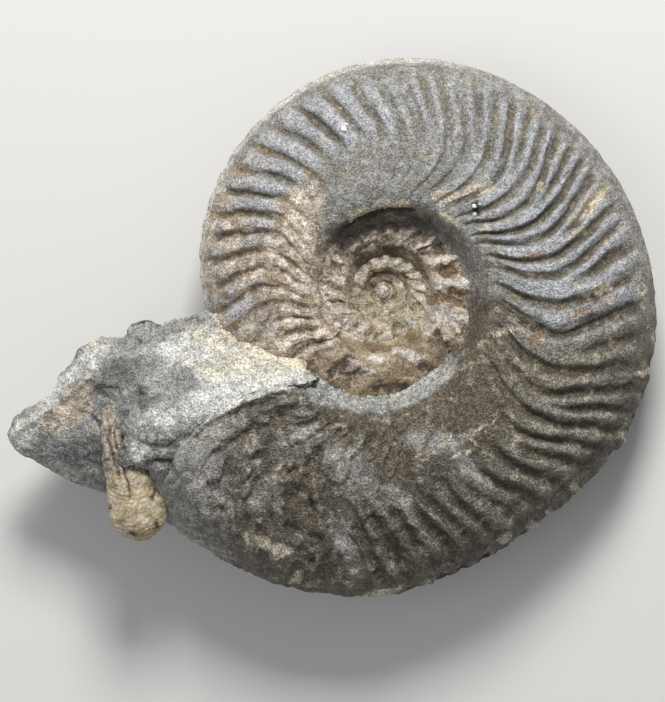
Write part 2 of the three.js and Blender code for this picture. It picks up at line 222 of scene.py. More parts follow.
# From rib number to angle: a whole number is a groove and a half is a crest.
rib_angle = curve_through([
    (-60, -1414), (-50, -1064), (-40, -714), (-22, -364), (-8, -84), (-5, -43), (0, 2.5), (5, 41.8),
    (10, 82.3), (13, 100.8), (20, 135), (25, 156.4), (28, 170.8), (32, 197.4), (35, 212.3),
    (37, 222.3), (40, 240.8), (45, 266), (54, MOUTH_ANGLE),
])
RIB_NUMBERS = np.arange(-60, 54, 0.02)
RIB_ANGLES = rib_angle(RIB_NUMBERS)

# Angles over which the inner turns pass into the last whorl, and its narrow grooves into wide ones.
INNER_TURNS_END = (-60, -40)
NARROW_GROOVES_END = (85, 105)

# A rib's sickle shape: how far it leads, in degrees, from the seam (0) to the outer edge (1).
rib_sweep = curve_through([
    (0, 1), (0.14, 1.4), (0.3, 7.2), (0.47, 8.7), (0.62, 5.7), (0.83, 0), (1, -2.3),
])
SWEEP_FADES = (296, MOUTH_ANGLE)

# The broken mouth follows the rock's crest: how far it reaches past the last angle, in degrees,
# and how high the sandstone on it rises, in millimetres.
MOUTH_BEGINS = 284
mouth_reach = curve_through([
    (0, -1), (0.1, 0.5), (0.25, 6), (0.41, 9), (0.57, 10), (0.79, 7), (1, 2),
])
mouth_rise = curve_through([
    (0, 0.6), (0.05, 1.6), (0.1, 2.2), (0.17, 1.6), (0.28, 0.6), (0.41, 0.5), (0.57, 0.8),
    (0.79, 2.4), (0.92, 1.4), (1, 0),
])

# How deep the grooves are on the outer and the inner half of the flank, along the last whorl.
outer_ribs = curve_through([
    (-360, 0.9), (-90, 0.9), (-45, 0.35), (-22, 0.45), (-6, 0.9), (0, 1), (80, 0.9), (92, 0.65),
    (110, 0.6), (140, 0.95), (215, 0.9), (245, 0.75), (270, 0.55), (290, 0.35), (MOUTH_ANGLE, 0.3),
])
inner_ribs = curve_through([
    (-360, 1), (0, 0.7), (35, 0.35), (60, 0.15), (95, 0.2), (115, 0.55), (150, 0.85), (190, 0.8),
    (207, 0.5), (225, 0.25), (245, 0.15), (265, 0.1),
])

# Where across the flank the ribs start, sink, pass from one half's depth to the other's and fork.
RIB_STARTS = (0.07, 0.24)
RIB_SINKS = (0.84, 0.97)
RIB_HALVES = (0.42, 0.62)
FORK_CLOSES = (0.5, 0.72)

# The angle that the forks begin at and, in ribs, how often they come, how far they shift the
# ribs beside them, and how far every rib wobbles.
FORKS_FROM = 95
FORK_EVERY = 3
FORK_SHIFT = 0.25
RIB_WOBBLE = 0.13

# The inner whorls' ribs round one turn: plain at the bottom, where clear calcite fills them.
inner_turn_ribs = curve_through([
    (0, 0.6), (20, 0.7), (50, 0.5), (90, 0.55), (130, 0.8), (150, 1), (200, 0.9), (218, 0.15),
    (305, 0.12), (330, 0.4), (360, 0.6),
])

# Half of a whorl's section: place across the flank, share of the half thickness.
last_section = curve_through([
    (-0.15, 0.3), (0, 0.46), (0.05, 0.72), (0.12, 0.94), (0.24, 1), (0.4, 0.97), (0.55, 0.88),
    (0.7, 0.73), (0.83, 0.54), (0.93, 0.3), (1, 0),
])
inner_section = curve_through([
    (-0.2, 0.2), (0, 0.46), (0.12, 0.9), (0.27, 1), (0.5, 0.92), (0.7, 0.6),
])


def growth_to(angle):
    return GROWTH ** (angle / FULL_TURN)


def outer_radius(angle):
    turns = np.maximum(0, np.ceil((EXPOSED_FROM - angle) / FULL_TURN))
    return outer_edge(angle + turns * FULL_TURN) / GROWTH ** turns


# Each groove's own strength, for the groove numbers from the first one up.
rng = np.random.default_rng(SEED)
FIRST_GROOVE = -100
GROOVE_STRENGTH = 0.85 + 0.3 * rng.random(200)


def forked(number, angle, across):
    """The rib number, shifted so that the ribs left inside the forks are as wide as each other."""
    inside = (1 - smooth_step(*FORK_CLOSES, across)) * smooth_step(FORKS_FROM, FORKS_FROM + 20, angle)
    closed = FORK_EVERY * np.floor((number - 1) / FORK_EVERY) + 1
    past = number - closed
    first = 1 - FORK_SHIFT * inside
    second = 2 + FORK_SHIFT * inside
    before = past / first
    between = 1 + (past - first) / (second - first)
    after = 2 + (past - second) / (FORK_EVERY - second)
    return closed + np.where(past < first, before, np.where(past < second, between, after))


def rib_streaks(angle, across, along_scale, across_scale):
    """Random unevenness in steps of ribs and of the flank's breadth, about -1 to 1."""
    number, across = np.broadcast_arrays(np.interp(angle, RIB_ANGLES, RIB_NUMBERS), across)
    places = np.stack([number * along_scale, across * across_scale, 0 * number], axis=-1)
    return lumps(places.reshape(-1, 3), 1.0, octaves=2, shift=5.0).reshape(number.shape)


def rib_waves(angle, across):
    """The grooves' shape from 0 to 1, and the ribs' strength, at places on the coil."""
    number = forked(np.interp(angle, RIB_ANGLES, RIB_NUMBERS), angle, across)
    number = number + RIB_WOBBLE * rib_streaks(angle, across, 2.5, 7)
    groove = np.round(number)
    off = np.abs(number - groove) * 2
    rounded = 0.5 + 0.5 * np.cos(math.pi * off)
    narrow = np.exp(-((off / 0.4) ** 2))
    narrowed = band(INNER_TURNS_END, NARROW_GROOVES_END, angle)
    shape = rounded**1.4 * (1 - narrowed) + 0.85 * narrow * narrowed
    half = smooth_step(*RIB_HALVES, across)
    strength = inner_ribs(angle) * (1 - half) + outer_ribs(angle) * half
    on_inner_turn = 1 - smooth_step(*INNER_TURNS_END, angle)
    inner_strength = 0.75 * inner_turn_ribs(np.mod(angle, FULL_TURN)) * smooth_step(-1000, -300, angle)
    strength = strength * (1 - on_inner_turn) + inner_strength * on_inner_turn
    closes = (angle > FORKS_FROM) & (np.mod(groove, FORK_EVERY) == 1)
    opened = np.where(closes, smooth_step(*FORK_CLOSES, across), 1.0)
    worn = 0.6 + 0.35 * band((50, 90), (175, 200), angle)
    ends = smooth_step(*RIB_STARTS, across) * (1 - worn * smooth_step(*RIB_SINKS, across))
    varied = GROOVE_STRENGTH[(groove - FIRST_GROOVE).astype(int)]
    return shape * opened, strength * ends * varied


def coil_points(angle, across, side, section, tuck):
    """Points of one flank (side 1 above, -1 below), and its grooves and crests from 0 to 1."""
    inner = SEAM_RADIUS * growth_to(angle)
    radius = inner + across * (outer_radius(angle) - inner)
    fade = 1 - smooth_step(*SWEEP_FADES, angle)
    mouth = smooth_step(MOUTH_BEGINS, MOUTH_ANGLE, angle)
    turned = np.radians(angle + rib_sweep(across) * fade + mouth_reach(across) * mouth)
    size = growth_to(np.minimum(angle, 0))
    shape, strength = rib_waves(angle, across)
    sunk = RIB_DEPTH * size * shape * strength
    height = HALF_THICKNESS * growth_to(angle) * section(across) + KEEL_HALF_WIDTH * size - sunk - tuck
    height = height + np.where(side > 0, mouth_rise(across) * mouth, 0)
    reach = radius - np.where(across >= 1, sunk / 2, 0)
    level = side * np.maximum(height, LEAST_HEIGHT)
    points = np.stack([-reach * np.cos(turned), reach * np.sin(turned), level], axis=-1)
    return points, shape * strength, (1 - shape) * strength


def new_mesh(name, points, faces, masks, smooth=True):
    """A mesh piece in the part's frame from points in the coil's frame, kept inside the solids' box."""
    matrix = np.array(TO_PART)
    placed = points @ matrix[:3, :3].T + matrix[:3, 3]
    placed = np.clip(placed, cad_box[0], cad_box[1])
    mesh = bpy.data.meshes.new(name)
    mesh.from_pydata(placed.tolist(), [], faces)
    for mask, values in masks.items():
        shares = np.clip(values, 0, 1).astype(np.float32)
        mesh.attributes.new(mask, "FLOAT", "POINT").data.foreach_set("value", shares)
    mesh.polygons.foreach_set("use_smooth", [smooth] * len(mesh.polygons))
    mesh.update()
    piece = bpy.data.objects.new(name, mesh)
    bpy.context.scene.collection.objects.link(piece)
    return piece


def tube_faces(columns, around):
    """Quads round a tube of point rings, and the two end faces."""
    start = np.arange(columns - 1)[:, None] * around
    here = start + np.arange(around)[None, :]
    there = start + (np.arange(around)[None, :] + 1) % around
    quads = np.stack([here, here + around, there + around, there], axis=-1).reshape(-1, 4)
    ends = [list(range(around)), list(range((columns - 1) * around, columns * around))[::-1]]
    return quads.tolist() + ends


def flank_normals(points):
    """Unit normals of a grid of points, towards the outside of an upper flank."""
    along = np.gradient(points, axis=0)
    across = np.gradient(points, axis=1)
    normals = np.cross(along, across)
    return normals / np.maximum(np.linalg.norm(normals, axis=-1, keepdims=True), 1e-9)


# How far a whorl reaches in under its seam, as a share of its height.
WHORL_INSIDE = -0.14


def whorl_piece(name, first, last, step, rows_up, rows_down, section, reach_out, tuck, dress):
    """One stretch of the coil as a closed tube, with the relief and masks that dress gives it."""
    columns = int(round((last - first) / step)) + 1
    angle = np.linspace(first, last, columns)[:, None]
    up = np.linspace(WHORL_INSIDE, reach_out, rows_up)[None, :]
    down = np.linspace(reach_out, WHORL_INSIDE, rows_down)[None, :]
    top = coil_points(angle, up, 1, section, tuck)
    bottom = coil_points(angle, down, -1, section, tuck)
    flanks = [
        (*top, np.broadcast_to(up, top[1].shape)),
        (*bottom, np.broadcast_to(down, bottom[1].shape)),
    ]
    if reach_out == 1:
        ridge = (top[0][:, -1:] + bottom[0][:, :1]) / 2
        ridge = ridge * (1 + KEEL_ROUND / np.linalg.norm(ridge, axis=-1, keepdims=True))
        flanks.insert(1, (ridge, *(values[:, -1:] for values in flanks[0][1:])))
    points, groove, crest, across = (np.concatenate(values, axis=1) for values in zip(*flanks))
    grids = (np.broadcast_to(angle, groove.shape), across, groove, crest)
    normals = flank_normals(points).reshape(-1, 3)
    flat = points.reshape(-1, 3)
    rise, masks = dress(*(grid.reshape(-1) for grid in grids), flat)
    return new_mesh(name, flat + normals * rise[:, None], tube_faces(columns, points.shape[1]), masks)


# What marks the last whorl, in pixels: see spots() and strokes().
CHIPPED_PIT = [(474, 210, 6, 8, 15)]
CRYSTALS = [(472, 208, 2.2), (473, 216, 2), (344, 131, 3.2), (346, 127, 2.6), (478, 206, 1.2)]
ORANGE_SPOTS = [
    (225, 218, 17, 5, -8), (266, 151, 13, 5, -35), (311, 175, 13, 6, -25), (357, 84, 8, 4, -60),
    (237, 326, 9, 6, 0), (241, 172, 12, 15, 60), (528, 256, 13, 5, 5), (580, 312, 18, 5, 25),
    (533, 338, 16, 6, 10), (222, 297, 10, 16, 20),
]
TAN_SPOTS = [
    (590, 202, 30, 9, 48), (577, 232, 14, 6, 35), (538, 188, 7, 6, 0), (444, 198, 18, 8, 10),
    (476, 192, 18, 8, 20), (484, 230, 8, 5, 0), (508, 331, 22, 4, 15), (595, 290, 20, 6, 20),
    (281, 549, 16, 8, 0), (256, 539, 14, 10, -20), (378, 595, 40, 5, 10),
]
CREAM_KNOBS = [
    (296, 578, 10, 7, -10), (312, 586, 9, 5, 0), (508, 539, 8, 10, -45), (532, 525, 8, 7, -40),
    (554, 515, 10, 6, -35), (581, 493, 12, 7, -35), (626, 437, 9, 6, 0), (643, 372, 9, 6, 20),
    (652, 338, 8, 7, 0),
]
RING_SCAR = (641, 289, 6)
PALE_PATCHES = [
    (204, 494, 22, 8, 72), (300, 436, 40, 14, 25), (350, 468, 60, 26, -50), (430, 440, 50, 16, -10),
    (400, 500, 34, 12, -50), (470, 470, 36, 12, -45), (262, 492, 34, 12, 50),
    (346, 545, 40, 14, -70),
]
DARK_SPOTS = [
    (241, 169, 7, 10, 0), (318, 234, 14, 5, -50), (610, 380, 22, 8, 25), (600, 450, 26, 12, 50),
    (520, 500, 24, 8, 40),
]
# The lip of the umbilical shoulder: raised, and pale partly in its own colour and partly as painted
# highlight where it faces the lamp.
UMBILICAL_EDGE = [
    [(350, 220), (362, 213), (378, 207), (396, 205), (406, 207)],
    [(440, 217), (458, 229)],
]
# A painted shadow line at the foot of the umbilical wall, where the wall overhangs at the top; the stroke
# is also dug in a little.
UMBILICAL_SHADOW_LINE = [[(346, 229), (360, 221), (376, 215), (396, 211), (412, 212)]]
CRACKS = [
    [(414, 455), (432, 450), (446, 441), (450, 434)],
    [(436, 461), (458, 453), (471, 449), (474, 442), (462, 434)],
    [(468, 436), (479, 427), (497, 418)],
]
DARK_CRACKS = [
    [(545, 157), (551, 138), (556, 128)],
    [(540, 186), (556, 183), (568, 172)],
    [(300, 420), (318, 430), (340, 428), (358, 440)],
    [(505, 452), (535, 458), (560, 455), (582, 465)],
]


# Where the broken mouth dips under the rock, in degrees, and how far, in millimetres.
MOUTH_DIPS = (313, MOUTH_ANGLE)
DIP_DEPTH = 2.0


def last_whorl_marks(flat):
    """What is drawn on the last whorl, each from 0 to 1."""
    ragged = frayed(flat, 0.9, 2.4)
    scar_x, scar_y = from_pixel(*RING_SCAR[:2])
    from_scar = np.hypot(flat[:, 0] - scar_x, flat[:, 1] - scar_y) / (RING_SCAR[2] * MM_PER_PIXEL)
    return {
        "knob": np.minimum(spots(ragged, CREAM_KNOBS) * 2, 1),
        "pit": spots(frayed(flat, 0.3, 1.0), CHIPPED_PIT),
        "edge": strokes(frayed(flat, 0.4, 1.5), UMBILICAL_EDGE, 5),
        "gap": strokes(frayed(flat, 0.3, 1.5), UMBILICAL_SHADOW_LINE, 4),
        "crack": strokes(flat, CRACKS, 1.6),
        "dark_crack": strokes(flat, DARK_CRACKS, 1.8),
        "scar": np.clip(1 - np.abs(from_scar - 0.8) * 3, 0, 1) * (flat[:, 2] > 0),
        "orange": spots(ragged, ORANGE_SPOTS),
        "tan": spots(ragged, TAN_SPOTS),
        "pale": spots(ragged, PALE_PATCHES),
        "dark": spots(ragged, DARK_SPOTS),
    }


def last_whorl_masks(angle, across, flat, marks):
    """The masks of the last whorl's colours and of its painted light and shade, but for those that follow
    its relief.
    """
    upper = flat[:, 2] > 0
    rim_highlight = smooth_step(0.945, 0.985, across) * (1 - smooth_step(95, 130, angle))
    seam_shading = 1 - smooth_step(0.045, 0.1, across)
    shaded = band((20, 60), (196, 222), angle) * (1 - 0.5 * smooth_step(112, 140, angle))
    ends = smooth_step(312, 315, angle + 1.6 * lumps(flat, 1.8, shift=6.0))
    sand = smooth_step(290, 314, angle) * (0.4 + 0.6 * smooth_step(0.3, 0.55, across))
    cream = [marks["tan"], 0.5 * marks["knob"], 0.8 * marks["scar"], 0.8 * marks["crack"]]
    # Dark marks, with the gap stroke as a painted shadow line along the umbilical wall.
    dark = [marks["pit"] * 1.1, marks["dark_crack"], marks["gap"] * 1.5, marks["dark"] * 0.8]
    return {
        "tan": (1 - smooth_step(20, 75, angle)) * (1 - 0.45 * smooth_step(0.35, 0.6, across)),
        # Olive and chamber darken the flank towards the right and the bottom: partly the stone's own
        # darker tone, partly painted shade where the flank turns from the lamp.
        "olive": smooth_step(145, 218, angle),
        "chamber": smooth_step(208, 246, angle),
        "sand": np.maximum(sand, 0.8 * marks["pale"]),
        # Painted light on the broken mouth's end beside the rock's tip.
        "lit_face": ends * band((0.02, 0.1), (0.5, 0.75), across),
        # The umbilical lip's pale colour, partly painted highlight.
        "edge": marks["edge"] * 1.5,
        # Painted shade on the umbilical wall where it faces away from the lamp, and painted light where it
        # faces it at the bottom.
        "shaded_wall": seam_shading * shaded,
        "lit_wall": seam_shading * smooth_step(205, 235, angle),
        # A painted highlight along the keel on the upper left.
        "rim_highlight": rim_highlight * (0.35 + 0.65 * upper),
        "orange": marks["orange"],
        # Cream marks, with the umbilical lip and its partly painted highlight.
        "cream": np.maximum.reduce([*cream, 0.9 * marks["edge"]]),
        "dark": np.maximum.reduce(dark),
    }


def dress_last_whorl(angle, across, groove, crest, flat):
    """The last whorl's wear, chips and knobs in millimetres, and the masks of its colours, painted light
    and shade among them.
    """
    mouth = smooth_step(230, 280, angle)
    venter = smooth_step(0.84, 0.93, across)
    broken = venter * band((188, 205), (250, 275), angle)
    rugged = (1 - smooth_step(45, 75, angle)) * (1 - smooth_step(0.4, 0.65, across))
    wear = 0.5 + 1.3 * mouth + 0.9 * broken + 0.9 * rugged + 0.3 * venter
    rise = -wear * (0.17 * lumps(flat, 3.6) + 0.13 * lumps(flat, 1.2, shift=7.0) + 0.14)
    rough = mouth * (1 - 0.7 * venter) + 0.5 * broken
    breaks = facets(flat, 3.2, 2.0)
    small_breaks = facets(flat, 1.3, 5.0)
    rise = rise - rough * (0.6 * (0.5 + breaks) + 0.3 * (0.5 + small_breaks))
    streaks = rib_streaks(angle, across, 0.9, 2.2)
    rise = rise + (0.22 + 0.6 * mouth) * streaks * band((0.06, 0.2), (0.9, 1), across)
    rise = rise - DIP_DEPTH * smooth_step(*MOUTH_DIPS, angle) * band((0.17, 0.27), (0.8, 0.9), across)
    marks = last_whorl_marks(flat)
    rise = rise + 0.45 * marks["knob"] - 0.7 * np.minimum(marks["pit"] * 1.5, 1)
    rise = rise - 0.25 * marks["dark_crack"] + 0.1 * marks["crack"]
    rise = rise + 0.4 * marks["edge"] - 0.5 * marks["gap"]
    rise = np.minimum(rise, 0.5 * (1 - venter) + 0.05)
    masks = last_whorl_masks(angle, across, flat, marks)
    masks["groove"] = np.maximum(groove, 0.5 * smooth_step(0.1, 0.4, breaks) * rough)
    masks["crest"] = crest * smooth_step(0.1, 0.3, across)
    raised = np.clip(0.25 + 0.9 * streaks - 0.9 * breaks, 0, 1)
    masks["pale"] = 0.65 * raised * smooth_step(215, 250, angle)
    return rise, masks


def crystals_piece(flank):
    """Small white crystals that stand on the flank, each a cut and jittered ball."""
    shape = bmesh.new()
    surface = np.array([TO_PART.inverted() @ v.co for v in flank.data.vertices])
    chance = np.random.default_rng(SEED + 1)
    for px, py, radius in CRYSTALS:
        x, y = from_pixel(px, py)
        gap = np.hypot(surface[:, 0] - x, surface[:, 1] - y)
        gap[surface[:, 2] < 0] = np.inf
        level = surface[np.argmin(gap), 2]
        made = bmesh.ops.create_icosphere(shape, subdivisions=2, radius=radius * MM_PER_PIXEL)
        for vert in made["verts"]:
            vert.co = vert.co * (0.75 + 0.5 * chance.random()) + Vector((x, y, level + 0.1))
    places = np.array([v.co[:] for v in shape.verts])
    faces = [[v.index for v in f.verts] for f in shape.faces]
    shape.free()
    return new_mesh("flank_crystals", places, faces, {}, smooth=False)


# What marks the inner whorls, in pixels: crests and grooves are lines with half a width.
INNER_CRESTS = [
    ([(430, 265), (456, 253)], 7), ([(434, 286), (466, 281)], 10), ([(432, 313), (462, 326)], 12),
    ([(396, 247), (416, 229)], 4), ([(413, 251), (434, 236)], 4.5), ([(366, 240), (374, 233)], 4),
    ([(328, 281), (341, 281)], 8), ([(335, 261), (341, 262)], 5), ([(328, 307), (336, 319)], 8),
    ([(345, 320), (357, 312)], 3.5), ([(326, 294), (336, 294)], 4), ([(422, 328), (426, 333)], 7),
    ([(370, 356), (380, 358)], 6), ([(398, 350), (416, 360)], 9), ([(352, 362), (372, 372)], 6),
    ([(352, 334), (362, 340)], 5),
]
INNER_ORANGE = [
    ([(441, 269), (459, 262)], 5), ([(450, 293), (468, 294)], 4.5),
    ([(434, 295), (450, 299), (467, 306)], 4.5), ([(403, 276), (406, 278)], 4),
    ([(384, 250), (398, 252)], 5),
]
# Dark marks on the inner whorls; the broad arc along the top is painted shade under the overhanging
# umbilical wall.
INNER_DARK_AND_SHADE = [
    ([(340, 246), (360, 230), (392, 224), (424, 229), (448, 246)], 16),
    ([(352, 256), (368, 246), (388, 240)], 7), ([(404, 240), (424, 228)], 4),
    ([(420, 252), (440, 240)], 4), ([(325, 302), (341, 300)], 3), ([(348, 322), (352, 325)], 5),
    ([(330, 374), (352, 358)], 9), ([(344, 374), (364, 372)], 7), ([(372, 388), (410, 386)], 7),
    ([(420, 366), (432, 371)], 7), ([(436, 333), (440, 340)], 6), ([(446, 346), (449, 350)], 5),
    ([(452, 340), (462, 332)], 3),
]
RING_HOLLOWS = [
    ([(373, 334), (377, 340)], 7), ([(394, 327), (401, 326)], 6), ([(412, 304), (416, 308)], 6),
    ([(374, 274), (378, 278)], 5),
]
CENTRE_SHADE = [([(373, 284), (378, 277), (386, 275), (393, 280)], 8)]


def drawn(points, rows):
    """strokes() for rows of a line and half its width, the strongest of them at each point."""
    return np.maximum.reduce([strokes(points, [line], half_width) for line, half_width in rows])


def dress_inner_whorls(angle, across, groove, crest, flat):
    """The inner whorls' calcite lumps in millimetres, and the masks of their colours, painted shade among
    them.
    """
    size = growth_to(np.minimum(angle, 0))
    turn = np.mod(angle, FULL_TURN)
    shape, _ = rib_waves(angle, across)
    third = 1 - smooth_step(-372, -350, angle)
    fourth = 1 - smooth_step(-726, -700, angle)
    nodes = smooth_step(0.15, 0.85, 1 - shape) * smooth_step(0.08, 0.3, across)
    nodes = nodes * (0.75 + 0.35 * lumps(flat, 1.6, octaves=2, shift=8.0))
    ragged = frayed(flat, 0.8, 1.5)
    # The top of the second whorl, painted darker and with dimmer crests as shade under the umbilical wall.
    top = band((30, 50), (118, 138), turn) * (1 - third)
    white = smooth_step(0, 0.8, drawn(ragged, INNER_CRESTS)) * (1 - 0.45 * top)
    orange = smooth_step(0, 0.8, drawn(ragged, INNER_ORANGE))
    dark = smooth_step(0, 0.9, drawn(ragged, INNER_DARK_AND_SHADE))
    hollows = smooth_step(0, 0.9, drawn(ragged, RING_HOLLOWS))
    rise = -(0.16 * lumps(flat, 2.2) + 0.12 * lumps(flat, 0.8, shift=4.0) + 0.1)
    swell = crest * smooth_step(0.3, 0.55, across) * (1 - 0.8 * third)
    rise = (rise + 0.5 * swell - 0.2) * (0.35 + 0.65 * size)
    rise = rise + 0.2 * white - 0.2 * dark - 0.25 * orange - 0.25 * hollows * third
    rise = rise + (0.16 * nodes - 0.08) * third * (1 - 0.6 * fourth)
    # The seam's painted shade, strongest on the sides that face away from the lamp.
    facing = 0.3 + 0.6 * band((10, 50), (140, 190), turn)
    masks = {
        "groove": groove,
        "crest": np.maximum(0.9 * white, 1.05 * nodes * third * (1 - hollows) * (1 - 0.4 * fourth)),
        "clear": band((212, 226), (300, 320), turn),
        # The dark marks and the painted shade on the top of the second whorl.
        "brown_and_shade": np.maximum(dark, 0.5 * top),
        "orange": orange,
        "third": third * 0.9,
        "olive": hollows,
        "seam_shading": facing * (1 - smooth_step(0.0, 0.09, across)),
        "centre": drawn(ragged, CENTRE_SHADE) * 1.5,
    }
    return rise, masks


# The first chamber's bead and the shallow ring round it, in millimetres.
CORE_RADIUS = 2.1
BEAD_RADIUS = 1.15


def centre_bead():
    """The first chamber: a round bead in the middle of the coil, in a shallow ring."""
    around = 72
    rows = 40
    radius = CORE_RADIUS * np.sin(np.linspace(0.02, 1, rows) * math.pi / 2)[:, None]
    turn = np.linspace(0, 2 * math.pi, around, endpoint=False)[None, :]
    dome = 0.7 * np.sqrt(np.clip(1 - (radius / BEAD_RADIUS) ** 2, 0, 1))
    top = 0.72 + dome - 0.25 * smooth_step(1.3, 2.1, radius)
    rings = [np.stack([radius * np.cos(turn), radius * np.sin(turn), side * (top + 0 * turn)], axis=-1)
             for side in (1, -1)]
    points = np.concatenate([rings[0], rings[1][::-1]])
    flat = points.reshape(-1, 3)
    flat = flat + 0.16 * lumps(flat, 0.7)[:, None] * np.array([0, 0, 1])
    bead = np.broadcast_to(np.concatenate([radius, radius[::-1]]) < BEAD_RADIUS, points.shape[:2])
    shade = drawn(frayed(flat, 0.4, 1.0), CENTRE_SHADE) * 1.5
    masks = {"crest": 0.7 * bead.reshape(-1), "third": 1.0 - bead.reshape(-1), "centre": shade}
    return new_mesh("centre_bead", flat, tube_faces(2 * rows, around), masks)


# The rock: its edge, the points of its upper side and of its under side, as in the solid but for
# the crest's end at the tip, which has one point more and one that is 1 mm higher.
ROCK_EDGE = [
    (-30, -2.6, 0.5), (-34.2, -3.9, 0), (-37.6, -4.9, -0.5), (-39.6, -4.2, 0), (-43, -5.3, 0),
    (-44, -6.7, 0), (-48.5, -7.6, 0.5), (-51.9, -8.7, 0), (-53.3, -11.4, 0), (-55.1, -13.3, 0.5),
    (-57, -17.2, 0.5), (-61.4, -19.6, 0), (-63.6, -21.3, 0), (-64.6, -24.3, 0), (-63.2, -27, -0.5),
    (-57.8, -30.4, -1), (-52.9, -33.2, -1), (-49, -33.6, -1), (-47, -34.6, -1), (-43.5, -35.8, -1),
    (-39.6, -36.8, -1), (-36.6, -38.6, -0.5), (-33, -34, 0), (-28, -29, 0), (-22, -24, 0),
    (-12, -18.5, 0), (-9, -13, 0), (-13, -8.5, 0), (-19, -6.5, 0), (-25, -4, 0), (-27, -1.5, 0),
]
ROCK_TOP = [
    (-28.6, -5.6, 4.2), (-26.2, -9, 6), (-19.2, -10.4, 7.6), (-13.8, -12, 8.2), (-10.5, -14.6, 10),
    (-12.8, -15.7, 12.9), (-15.3, -15.8, 15), (-21, -18.4, 14.9), (-26.4, -19.8, 14.4),
    (-31.2, -22.8, 13.3), (-22, -13.8, 11.2), (-27.5, -14, 10.6), (-32.8, -9, 5.8),
    (-33.7, -15.8, 10.8), (-39.6, -9.2, 4.8), (-39.4, -14.6, 8), (-33, -19.6, 12.9),
    (-39.2, -19.4, 11.9), (-43, -23.2, 11), (-37, -25, 12.4), (-35.4, -29, 11.2),
    (-43.4, -30.2, 9.8), (-39.6, -29, 11), (-44.8, -11.6, 4.8), (-49, -12, 5.2),
    (-44.7, -15.9, 6.3), (-48.2, -17.6, 5.4), (-50.3, -14.6, 6.8), (-57.4, -19.4, 5),
    (-62.2, -23.6, 2.6), (-56.4, -24.2, 3.8), (-51.6, -21.6, 4.6), (-46.6, -20.6, 6.2),
    (-46.8, -26.4, 6.4), (-51.8, -27.4, 3.6), (-57.6, -27.4, 1.6), (-50.6, -31, 1.8),
    (-46, -31.6, 4.4), (-36.4, -32.6, 7.2), (-40, -33.4, 3),
]
ROCK_FLOOR = -17.6
ROCK_UNDER = [
    (-30, -10, -9), (-36, -10.5, -8.5), (-44, -12, -8), (-52, -15, -7), (-58, -21, -6),
    (-59, -26, -6), (-53, -29.5, -8), (-46, -31, -10), (-40, -32, -11), (-31, -15, ROCK_FLOOR),
    (-40, -16.5, ROCK_FLOOR), (-48, -19.5, ROCK_FLOOR + 2.5), (-49, -25, ROCK_FLOOR + 2.5),
    (-43, -28, ROCK_FLOOR), (-34, -27, ROCK_FLOOR), (-24, -20, ROCK_FLOOR), (-20, -12, -10),
]
ROCK_PARTINGS = 4
ROCK_SOFTENINGS = 4

# What marks the rock, in pixels: see spots() and strokes().
CREAM_RIDGE = [[(16, 432), (30, 424), (45, 412), (62, 400), (72, 392), (88, 378)]]
SEAM_FRINGE = [[(213, 311), (222, 325), (236, 338), (256, 348), (280, 356), (304, 364)]]
# Clefts, dug in and painted dark as the shade inside them.
ROCK_CLEFTS = [
    [(149, 465), (160, 462), (178, 465), (192, 463)],
    [(124, 412), (118, 430), (121, 446)],
]
ROCK_PITS = [(135, 340, 5, 4, 0)]
ROCK_CREAM = [
    (235, 350, 70, 16, -25), (275, 362, 40, 8, -8), (225, 366, 44, 16, 0), (98, 343, 12, 7, 30),
    (112, 420, 6, 20, 0),
]
# Painted light on the faces that turn towards the lamp.
ROCK_LIT_FACES = [
    (250, 388, 52, 20, 18), (205, 400, 34, 18, 25), (24, 430, 40, 20, 35), (60, 384, 38, 12, 42),
    (235, 362, 75, 30, -12), (290, 369, 24, 9, -10), (306, 380, 20, 10, -15),
    (185, 345, 40, 18, 10), (160, 416, 26, 13, 5), (90, 355, 20, 10, 30), (140, 455, 14, 18, 30),
]
ROCK_PINK = [(66, 412, 40, 14, 35), (84, 395, 10, 18, 0)]
# Painted shade on the faces that turn away from the lamp.
ROCK_SHADED_FACES = [
    (120, 374, 38, 20, 10), (88, 452, 40, 18, -14), (165, 445, 18, 8, 0), (142, 392, 26, 10, 0),
    (182, 478, 12, 16, 0),
]
# The lower right face: partly the sandstone's own brown, partly painted shade where it turns away from the
# lamp.
ROCK_BROWN_AND_SHADE = [(255, 432, 70, 14, 30), (200, 462, 40, 26, 40)]


def net_faces(edge, inner):
    """The triangles between the edge and the points inside it, as corner numbers."""
    flat = [Vector(p[:2]) for p in edge + inner]
    around = list(range(len(edge)))
    sides = [(i, (i + 1) % len(edge)) for i in around]
    result = geometry.delaunay_2d_cdt(flat, sides, [around[::-1]], 1, 1e-6)
    corners, faces, sources = result[0], result[2], result[3]
    number = [sources[i][0] for i in range(len(corners))]
    return [[number[i] for i in face] for face in faces]


